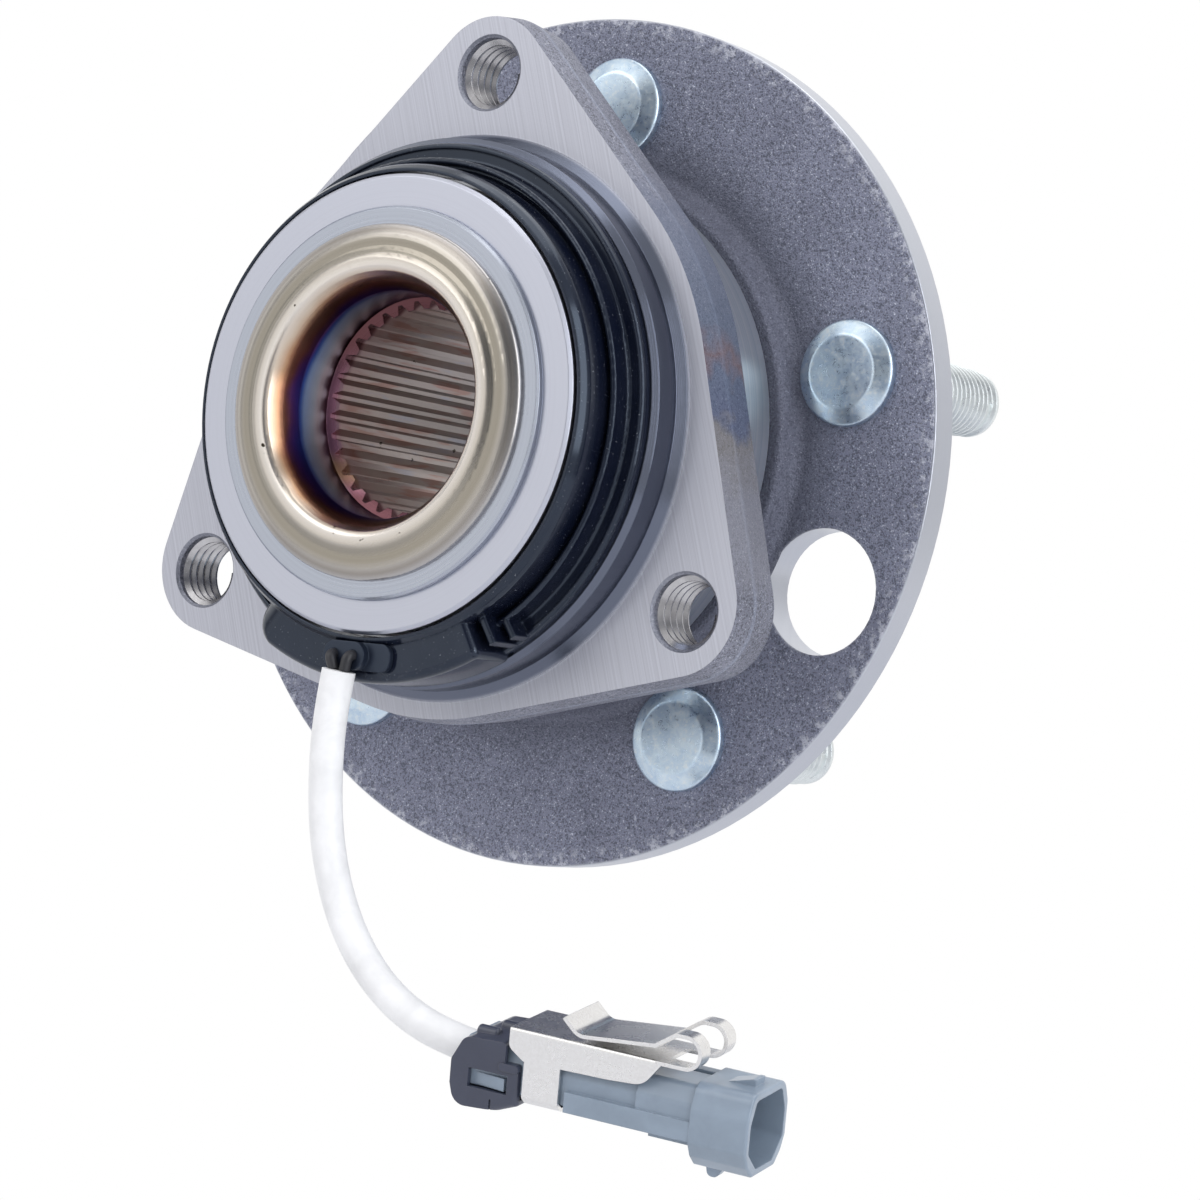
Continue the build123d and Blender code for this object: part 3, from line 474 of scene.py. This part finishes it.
def hubMaterial():
    material, tree, shader = startMaterial("hubSteel", 1.0)
    point, place = placeOf(tree)
    radius, height = place["Radius"], place["Height"]
    marks = marksOf(tree, point, place, 0.1)
    bore, along = hubBoreColour(tree, radius, height, point)
    # Forged inboard side of the wheel flange, with painted shade beside the barrel and worn patches near the
    # rim
    skin = useGroup(tree, forgedSkin, {"Point": point, "Grain": 1.45})
    forged = forgedColour(tree, skin, (0.215, 0.225, 0.295), (0.295, 0.31, 0.40), (0.74, 0.76, 0.86))
    # Paler edges of the forging: partly wear, partly a painted edge highlight
    rubAndHighlight = useGroup(tree, edgeRubAndHighlight, {"Point": point, "Reach": 0.7 * mm})["RubAndHighlight"]
    forged = mixColour(tree, times(tree, rubAndHighlight, 0.5), forged, (0.60, 0.61, 0.66))
    # Painted shade: the forging is darkened beside the barrel
    forged = mixColour(tree, spread(tree, radius, 0.62, 0.0, *hubFinish["paintedShade"]), forged, (0.10, 0.105, 0.14))
    worn = times(tree, stepUp(tree, noise(tree, point, 0.5, 5.0, 0.75), 0.50, 0.60),
                 stepUp(tree, radius, *hubFinish["wornRim"]))
    forged = mixColour(tree, times(tree, worn, 0.75), forged, (0.66, 0.67, 0.74))
    machined = mixColour(tree, marks["Mark"], (0.52, 0.54, 0.60), (0.66, 0.68, 0.74))
    inRim = times(tree, stepUp(tree, height, *hubFinish["forgedHeight"]),
                  stepUp(tree, radius, *hubFinish["rim"]))
    isForged = times(tree, stepUp(tree, radius, *hubFinish["forgedRadius"]), inRim)
    isBore = times(tree, stepUp(tree, radius, *hubFinish["boreRadius"]),
                   stepUp(tree, height, *hubFinish["boreHeight"]))
    colour = mixColour(tree, isForged, machined, forged)
    colour = mixColour(tree, isBore, colour, bore)
    roughMachined = spread(tree, marks["Band"], 0.24, 0.38)
    roughLip = mixValue(tree, stepUp(tree, along, *hubFinish["lip"]), spread(tree, marks["Band"], 0.20, 0.30),
                        0.30)
    rough = mixValue(tree, isForged, roughMachined, spread(tree, skin["Speck"], 0.60, 0.42))
    rough = mixValue(tree, isBore, rough, roughLip)
    relief = mixValue(tree, isForged, times(tree, marks["Mark"], 0.05), skin["Relief"])
    metallic = mixValue(tree, isForged, 1.0, 0.6)
    finishMaterial(tree, shader, colour, rough, relief, strength=0.8, distance=0.24, metallic=metallic,
                   roundEdge=0.12)
    return material


# Where one finish of the outer ring gives way to the next, in millimetres, each pair from none to full
ringFinish = {
    "seatFacing": (0.5, 0.9),
    "seatHeight": (0.6, 0.3),
    "seatRadius": (46.6, 47.2),
    "barrelRadius": (45.6, 45.3),
    "barrelHeight": (12.0, 13.0),
    "forgedRadius": (47.0, 47.6),
    "partingStart": (3.9, 4.5),
    "partingStop": (5.3, 4.7),
    "tint": (-22.0, 52.0),
    "tintSide": (14.0, 26.0),
    "tintLow": (-22.0, -8.0),
    "tintHigh": (52.0, 40.0),
}
# Heat tint on the flange's right-hand edge, by its height in millimetres
tintStops = [
    (-22.0, (0.32, 0.32, 0.36)), (-3.0, (0.30, 0.30, 0.34)), (6.0, (0.22, 0.20, 0.18)),
    (10.0, (0.05, 0.08, 0.18)), (15.0, (0.07, 0.11, 0.20)), (19.0, (0.18, 0.09, 0.09)),
    (24.0, (0.10, 0.14, 0.22)), (52.0, (0.20, 0.22, 0.30)),
]


def ringMaterial():
    # Outer ring: brushed seat, polished pilot darkened by a painted dark reflection, bright barrel, forged
    # flange edge
    material, tree, shader = startMaterial("forgedRingSteel", 1.0)
    point, place = placeOf(tree)
    radius, height = place["Radius"], place["Height"]
    marks = marksOf(tree, point, place, 0.16)
    seat = mixColour(tree, marks["Mark"], (0.42, 0.425, 0.475), (0.50, 0.505, 0.56))
    # Brush marks of the facing cut, long and slightly curved across the seat
    split = axesOf(tree, point)
    across = maths(tree, "MULTIPLY_ADD", split["Z"], 0.35, split["X"])
    brushed = lineNoise(tree, times(tree, across, 2.2), 1.0, 4.0, 0.75)
    seat = mixColour(tree, spread(tree, brushed, 0.0, 0.7, 0.35, 0.65), seat, (0.60, 0.61, 0.67))
    # Painted reflection: the pilot's colour is darkened to stand for the dark surroundings it mirrors
    pilot = mixColour(tree, marks["Mark"], (0.115, 0.13, 0.175), (0.16, 0.175, 0.225))
    barrelStreak = lineNoise(tree, times(tree, height, 0.9), 1.0, 3.0, 0.7)
    barrel = mixColour(tree, spread(tree, barrelStreak, 0.0, 1.0, 0.35, 0.65), (0.72, 0.78, 0.82),
                       (0.90, 0.92, 0.93))
    # Forged edge with a paler parting line
    skin = useGroup(tree, forgedSkin, {"Point": point, "Grain": 1.5})
    forged = forgedColour(tree, skin, (0.21, 0.215, 0.26), (0.33, 0.34, 0.41), (0.78, 0.80, 0.88))
    parting = times(tree, stepUp(tree, height, *ringFinish["partingStart"]),
                    stepUp(tree, height, *ringFinish["partingStop"]))
    forged = mixColour(tree, times(tree, parting, 0.35), forged, (0.42, 0.46, 0.58))
    # Heat tint down the right-hand edge, drifting with noise
    tintPlace = maths(tree, "MULTIPLY_ADD", noise(tree, point, 0.2, 2.0), 14.0, split["Z"])
    tint = ramp(tree, tintPlace, tintStops, *ringFinish["tint"])
    tintSpan = times(tree, stepUp(tree, tintPlace, *ringFinish["tintLow"]),
                     stepUp(tree, tintPlace, *ringFinish["tintHigh"]))
    tintMask = times(tree, stepUp(tree, split["X"], *ringFinish["tintSide"]), tintSpan)
    forged = mixColour(tree, times(tree, tintMask, 0.6), forged, tint)
    isSeat = times(tree, stepUp(tree, facingOf(tree), *ringFinish["seatFacing"]),
                   stepUp(tree, height, *ringFinish["seatHeight"]))
    isSeat = times(tree, isSeat, stepUp(tree, radius, *ringFinish["seatRadius"]))
    isBarrel = times(tree, stepUp(tree, radius, *ringFinish["barrelRadius"]),
                     stepUp(tree, height, *ringFinish["barrelHeight"]))
    isForged = times(tree, stepUp(tree, radius, *ringFinish["forgedRadius"]),
                     maths(tree, "SUBTRACT", 1.0, isSeat))
    colour = mixColour(tree, isSeat, pilot, seat)
    colour = mixColour(tree, isBarrel, colour, barrel)
    colour = mixColour(tree, isForged, colour, forged)
    rough = mixValue(tree, isSeat, spread(tree, marks["Band"], 0.12, 0.18), spread(tree, brushed, 0.30, 0.44))
    rough = mixValue(tree, isBarrel, rough, 0.36)
    metallic = mixValue(tree, isForged, mixValue(tree, isSeat, 1.0, 0.4), 0.6)
    rough = mixValue(tree, isForged, rough, spread(tree, skin["Speck"], 0.6, 0.42))
    relief = mixValue(tree, isForged, times(tree, marks["Mark"], 0.05), skin["Relief"])
    finishMaterial(tree, shader, colour, rough, relief, strength=0.55, distance=0.24, metallic=metallic,
                   roundEdge=0.2)
    return material


# Height in millimetres at which the stud's threads begin
threadedHeight = (38.0, 40.0)


def zincMaterial():
    # Pale zinc with the mottled bloom of plating, and a painted reflection that makes the threads beyond the
    # flange whiter
    material, tree, shader = startMaterial("paleZinc", 1.0)
    point = pointOf(tree)
    patch = useGroup(tree, smudge, {"Point": point, "Size": 3.0})
    fine = noise(tree, point, 1.1, 4.0, 0.7)
    mottle = spread(tree, patch["Patch"], 0.0, 1.0, 0.35, 0.65)
    colour = mixColour(tree, mottle, (0.50, 0.63, 0.77), (0.68, 0.79, 0.87))
    bloom = times(tree, stepUp(tree, fine, 0.5, 0.68), 0.7)
    colour = mixColour(tree, bloom, colour, (0.78, 0.83, 0.85))
    # Painted reflection: the threads beyond the flange are made whiter
    height = axesOf(tree, point)["Y"]
    colour = mixColour(tree, stepUp(tree, height, *threadedHeight), colour, (0.80, 0.84, 0.84))
    gloss = spread(tree, fine, 0.24, 0.40, 0.3, 0.7)
    finishMaterial(tree, shader, colour, gloss, fine, strength=0.15, distance=0.08, roundEdge=0.2)
    return material


def threadMaterial():
    # Cut thread, darker in oily patches
    material, tree, shader = startMaterial("cutThread", 1.0)
    point = pointOf(tree)
    patch = useGroup(tree, smudge, {"Point": point, "Size": 5.0})
    mottle = spread(tree, patch["Patch"], 0.0, 1.0, 0.35, 0.65)
    colour = mixColour(tree, mottle, (0.44, 0.43, 0.44), (0.62, 0.61, 0.62))
    gloss = spread(tree, patch["Dust"], 0.22, 0.4)
    finishMaterial(tree, shader, colour, gloss, patch["Patch"], strength=0.1, distance=0.05,
                   roundEdge=0.1)
    return material


def moulded(name, colour, rough, coat=0.0, grain=1.5, relief=0.05, edge=0.2, dust=0.0, rubAndHighlight=0.0,
            sheen=None):
    # Moulded plastic or rubber, with fine dust, paler rubbed edges that are partly painted edge highlights, and
    # a tinted sheen where they are asked for
    material, tree, shader = startMaterial(name, 0.0, coat)
    if sheen:
        feed(tree, shader.inputs["Specular IOR Level"], 0.55)
        feed(tree, shader.inputs["Specular Tint"], sheen)
    point = pointOf(tree)
    patch = useGroup(tree, smudge, {"Point": point, "Size": 7.0})
    fine = noise(tree, point, grain, 3.0, 0.6)
    light = tuple(min(1.0, 1.18 * part + 0.004) for part in colour)
    tint = mixColour(tree, spread(tree, patch["Patch"], 0.0, 1.0, 0.3, 0.7), colour, light)
    if dust:
        tint = mixColour(tree, times(tree, patch["Dust"], dust), tint, (0.5, 0.52, 0.55))
    if rubAndHighlight:
        # Paler edges: partly wear, partly a painted edge highlight
        worn = useGroup(tree, edgeRubAndHighlight, {"Point": point, "Reach": 0.25 * mm})["RubAndHighlight"]
        pale = tuple(min(1.0, 1.6 * part + 0.05) for part in colour)
        tint = mixColour(tree, times(tree, worn, rubAndHighlight), tint, pale)
    gloss = maths(tree, "ADD", spread(tree, patch["Patch"], rough * 0.85, rough * 1.15),
                  spread(tree, fine, -0.02, 0.02))
    finishMaterial(tree, shader, tint, gloss, fine, strength=relief, distance=0.05, roundEdge=edge)
    return material


def nickelMaterial():
    # Bright nickel on thin sheet, finely mottled
    material, tree, shader = startMaterial("clipNickel", 1.0)
    point = pointOf(tree)
    patch = useGroup(tree, smudge, {"Point": point, "Size": 6.0})
    fine = noise(tree, point, 2.0, 3.0, 0.6)
    colour = mixColour(tree, spread(tree, fine, 0.0, 1.0, 0.3, 0.7), (0.79, 0.775, 0.76), (0.87, 0.86, 0.85))
    gloss = maths(tree, "ADD", spread(tree, patch["Patch"], 0.22, 0.32, 0.3, 0.7),
                  spread(tree, fine, -0.04, 0.04))
    finishMaterial(tree, shader, colour, gloss, roundEdge=0.08)
    return material


coolSheen = (0.66, 0.80, 1.0)
materials = {
    "outer_ring": ringMaterial(),
    "hub_spindle": hubMaterial(),
    "wheel_studs": zincMaterial(),
    "inner_ring": turnedSteel("groundSteel", (0.47, 0.50, 0.57), 0.26, pitch=0.4, relief=0.03,
                              contrast=0.25),
    "inboard_balls": turnedSteel("ballSteel", (0.75, 0.76, 0.78), 0.08, pitch=2.0, relief=0.0, edge=0.0),
    "inboard_cage": moulded("cageNylon", (0.62, 0.56, 0.40), 0.5),
    "outboard_seal_case": turnedSteel("sealSheet", (0.45, 0.45, 0.46), 0.3),
    "outboard_seal_lip": moulded("sealRubber", (0.02, 0.02, 0.022), 0.6),
    "tone_ring": turnedSteel("toneRingSteel", (0.55, 0.565, 0.64), 0.32, pitch=0.3, relief=0.015,
                             edge=0.3, contrast=0.08),
    "sensor_sleeve": turnedSteel("sleeveSteel", (0.62, 0.63, 0.66), 0.2),
    "sensor_body": moulded("sensorBlack", (0.004, 0.006, 0.015), 0.14, coat=0.12, grain=1.2,
                           relief=0.02, edge=0.45, dust=0.3, sheen=coolSheen),
    "sensor_pole": turnedSteel("poleIron", (0.35, 0.35, 0.36), 0.4),
    "sensor_bobbin": moulded("bobbinNylon", (0.66, 0.62, 0.5), 0.5),
    "sensor_coil": turnedSteel("copperWire", (0.60, 0.27, 0.12), 0.3, pitch=0.2, relief=0.3),
    "sensor_magnet": turnedSteel("magnetGrey", (0.13, 0.13, 0.14), 0.5),
    "lead_grommet": moulded("grommetGrey", (0.012, 0.016, 0.028), 0.34, edge=0.35, sheen=coolSheen),
    "sensor_wires": moulded("darkWire", (0.02, 0.02, 0.024), 0.45),
    "lead_cable": moulded("whiteJacket", (0.84, 0.835, 0.825), 0.42, grain=0.8, relief=0.03, edge=0.0),
    "connector_body": moulded("connectorGrey", (0.235, 0.29, 0.355), 0.30, coat=0.35, grain=1.2,
                              relief=0.04, edge=0.3, rubAndHighlight=0.6),
    "connector_blades": turnedSteel("bladeTin", (0.75, 0.75, 0.76), 0.2),
    "wire_seal": moulded("siliconeSeal", (0.30, 0.08, 0.05), 0.5),
    "connector_cap": moulded("capNavy", (0.038, 0.044, 0.072), 0.30, coat=0.35, grain=1.2, edge=0.35,
                             rubAndHighlight=0.25),
    "mounting_clip": nickelMaterial(),
}
for twin, first in (("outboard_balls", "inboard_balls"), ("outboard_cage", "inboard_cage"),
                    ("inboard_seal_case", "outboard_seal_case"), ("inboard_slinger", "outboard_seal_case"),
                    ("inboard_seal_lip", "outboard_seal_lip")):
    materials[twin] = materials[first]
for nodeName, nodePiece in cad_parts.items():
    for slot in nodePiece.material_slots:
        slot.material = materials[nodeName]
cutThread = threadMaterial()
print("materials made:", len(bpy.data.materials))


# Camera, at the photograph's place

cameraSet = {
    "place": (0.389845, -0.510559, -0.045675),
    "right": (0.81718, 0.56668, 0.10531),
    "up": (-0.07024, -0.08344, 0.99403),
    "lens": 116.70,
    "sensorWidth": 36.0,
}


def makeCamera():
    data = bpy.data.cameras.new("photoCamera")
    camera = bpy.data.objects.new("photoCamera", data)
    bpy.context.scene.collection.objects.link(camera)
    right, up = Vector(cameraSet["right"]), Vector(cameraSet["up"])
    turnMatrix = Matrix((right, up, right.cross(up))).transposed()
    camera.matrix_world = Matrix.Translation(cameraSet["place"]) @ turnMatrix.to_4x4()
    data.lens = cameraSet["lens"]
    data.sensor_width = cameraSet["sensorWidth"]
    bpy.context.scene.camera = camera


makeCamera()


# Lead, on the route of its CAD tube

leadSet = {
    "route": [(-1.5, -20.7, -43.6), (-2.3, -20.7, -50.4), (-2.1, -20.7, -59.2), (-0.9, -20.7, -68.3),
              (2.0, -20.8, -77.2), (6.6, -20.9, -85.3), (12.9, -21.0, -91.8), (20.3, -21.3, -96.3),
              (28.572, -20.973, -98.931), (34.614, -19.893, -100.002)],
    "diameter": 5.5,
    "length": 75.5,
    "alongSteps": 16,
    "roundSteps": 8,
}


def makeLead():
    curve = bpy.data.curves.new("leadJacket", "CURVE")
    curve.dimensions = "3D"
    spline = curve.splines.new("NURBS")
    spline.points.add(len(leadSet["route"]) - 1)
    for point, place in zip(spline.points, leadSet["route"]):
        point.co = (*(part * mm for part in place), 1.0)
    spline.order_u = 3
    spline.use_endpoint_u = True
    spline.resolution_u = leadSet["alongSteps"]
    curve.bevel_depth = leadSet["diameter"] / 2 * mm
    curve.bevel_resolution = leadSet["roundSteps"]
    curve.use_fill_caps = True
    lead = bpy.data.objects.new("leadJacket", curve)
    bpy.context.scene.collection.objects.link(lead)
    paint(lead, materials["lead_cable"])
    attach(lead, "knuckle_side")
    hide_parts("lead_cable")


makeLead()
print("lead laid")


# Wheel studs with their rolled threads, in millimetres and degrees

studSet = {
    "circle": 57.5,
    "firstAngle": 13.7,
    "count": 5,
    "head": 29.6,
    "flangeBack": 32.2,
    "flangeFront": 38.8,
    "tip": 73.6,
    # Radius, and height above the head's face; rings close together keep the disc flat, the chamfer sharp
    "headProfile": [(0, 0), (5.7, 0), (6.0, 0), (6.25, 0.06), (6.5, 0.19), (6.8, 0.34), (8.3, 1.08),
                    (8.6, 1.25), (8.78, 1.45), (8.85, 1.75), (8.85, 2.1)],
    "headRadius": 8.85,
    "knurlRadius": 6.34,
    "crest": 5.95,
    "root": 5.12,
    "pitch": 1.5,
    "runOut": 2.6,
    "buried": 0.04,
}


def makeStuds():
    sizes = studSet
    back, front, tip = sizes["flangeBack"], sizes["flangeFront"], sizes["tip"]
    knurl, crest, root = sizes["knurlRadius"], sizes["crest"], sizes["root"]
    profile = [(radius, sizes["head"] + rise) for radius, rise in sizes["headProfile"]]
    profile += [(sizes["headRadius"], back), (knurl, back), (knurl, front - 0.5), (crest, front - 0.1),
                (crest, front + 2.2), (root, front + 3.2), (root, tip - 2.2), (crest - 0.2, tip - 1.8),
                (crest - 0.25, tip - 1.0), (root - 0.3, tip - 0.1), (root - 0.6, tip), (0, tip)]
    blank = traceProfile("wheelStud", profile)
    turnProfile(blank, turnedSteps)
    start = front + sizes["runOut"]
    turns = int((tip - sizes["runOut"] - start) / sizes["pitch"])
    ridge = threadRidge("studThread", root - sizes["buried"], crest, sizes["pitch"], start, turns)
    stud = joinPieces([blank, ridge])
    paint(stud, materials["wheel_studs"])
    studs = []
    for index in range(sizes["count"]):
        angle = sizes["firstAngle"] + 360 / sizes["count"] * index
        studs.append(copyTo(stud, "wheelStud" + str(index), polarPlace(sizes["circle"], angle)))
    bpy.data.objects.remove(stud)
    for stud in studs:
        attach(stud, "hub")
        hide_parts("wheel_studs")


# Cut threads in the three knuckle holes, in millimetres and degrees

holeSet = {
    "circle": 57.5,
    "angles": (90, 210, 330),
    "foot": 6.03,
    "crest": 5.15,
    "pitch": 1.75,
    "start": 1.35,
    "turns": 5,
}


def makeHoleThreads():
    ridge = threadRidge("holeThread", holeSet["foot"], holeSet["crest"], holeSet["pitch"], holeSet["start"],
                        holeSet["turns"])
    paint(ridge, cutThread)
    for angle in holeSet["angles"]:
        twin = copyTo(ridge, "holeThread" + str(angle), polarPlace(holeSet["circle"], angle))
        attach(twin, "knuckle_side")
    bpy.data.objects.remove(ridge)


makeStuds()
makeHoleThreads()
print("threads cut")


# Studio: pale floor, soft light, white ground for the camera

studioSet = {
    "floorHeight": -0.32,
    "floorSize": 1.8,
    "floorColour": (0.8, 0.8, 0.8),
    "floorRoughness": 0.9,
    "mirrorBase": 0.05,
    "mirrorDark": (0.02, 0.03, 0.06),
    "mattLight": (0.69, 0.70, 0.745),
    "white": (1.0, 1.0, 1.0),
    # What metal mirrors: direction, where the light starts and is full, and how bright
    "lights": [
        # Backdrop behind the part, and the softbox in front on the left
        ((-0.572, 0.820, 0.028), 0.10, 0.45, 0.95),
        ((-0.38, -0.90, -0.16), 0.72, 0.985, 1.0),
        # Reflector on the left, and the light from above
        ((-0.85, -0.50, 0.10), 0.55, 0.95, 0.35),
        ((0.0, -0.1, 1.0), 0.50, 0.85, 0.65),
        # Reflector on the right, and the pale table below
        ((0.92, -0.38, 0.05), 0.62, 0.95, 0.65),
        ((0.0, 0.1, -1.0), 0.45, 0.85, 0.45),
    ],
}


def makeFloor():
    bpy.ops.mesh.primitive_plane_add(size=studioSet["floorSize"], location=(0, 0, studioSet["floorHeight"]))
    floor = bpy.context.active_object
    floor.name = "studioFloor"
    settle(floor)
    material = bpy.data.materials.new("paleFloor")
    material.use_nodes = True
    tree = material.node_tree
    shader = tree.nodes["Principled BSDF"]
    feed(tree, shader.inputs["Base Color"], studioSet["floorColour"])
    feed(tree, shader.inputs["Roughness"], studioSet["floorRoughness"])
    paint(floor, material)


def makeLamp(name, place, aim, size, power, tint=(1.0, 1.0, 1.0)):
    data = bpy.data.lights.new(name, "AREA")
    data.shape = "RECTANGLE"
    data.size, data.size_y = size
    data.energy = power
    data.color = tint
    lamp = bpy.data.objects.new(name, data)
    bpy.context.scene.collection.objects.link(lamp)
    lamp.location = place
    lamp.rotation_mode = "QUATERNION"
    lamp.rotation_quaternion = (Vector(aim) - Vector(place)).to_track_quat("-Z", "Y")


def makeWorld():
    # White to the camera, plain light for matt surfaces, and a studio with dark gaps for metal to mirror
    world = bpy.data.worlds.new("studio")
    bpy.context.scene.world = world
    world.use_nodes = True
    tree = world.node_tree
    background = tree.nodes["Background"]
    direction = addNode(tree, "ShaderNodeTexCoord").outputs["Generated"]
    light = studioSet["mirrorBase"]
    for aim, low, high, value in studioSet["lights"]:
        dot = addNode(tree, "ShaderNodeVectorMath", {"operation": "DOT_PRODUCT"},
                      {0: direction, 1: tuple(Vector(aim).normalized())}).outputs["Value"]
        light = maths(tree, "MULTIPLY_ADD", stepUp(tree, dot, low, high), value, light)
    light = maths(tree, "MINIMUM", light, 1.0)
    mirror = mixColour(tree, light, studioSet["mirrorDark"], studioSet["white"])
    paths = addNode(tree, "ShaderNodeLightPath").outputs
    colour = mixColour(tree, paths["Is Glossy Ray"], studioSet["mattLight"], mirror)
    colour = mixColour(tree, paths["Is Camera Ray"], colour, studioSet["white"])
    tree.links.new(colour, background.inputs["Color"])


makeFloor()
makeWorld()
makeLamp("keySoftbox", place=(-0.55, -0.95, 0.75), aim=(0, 0, 0), size=(0.9, 0.8), power=3.6)
makeLamp("topSoftbox", place=(0.1, 0.1, 1.1), aim=(0, 0, 0), size=(0.9, 0.8), power=3.4)
makeLamp("sideSoftbox", place=(1.1, -0.25, 0.35), aim=(0, 0, -0.02), size=(0.6, 1.2), power=6.0,
         tint=(0.93, 0.96, 1.0))
print("studio set")

bpy.context.scene.view_settings.view_transform = "Standard"
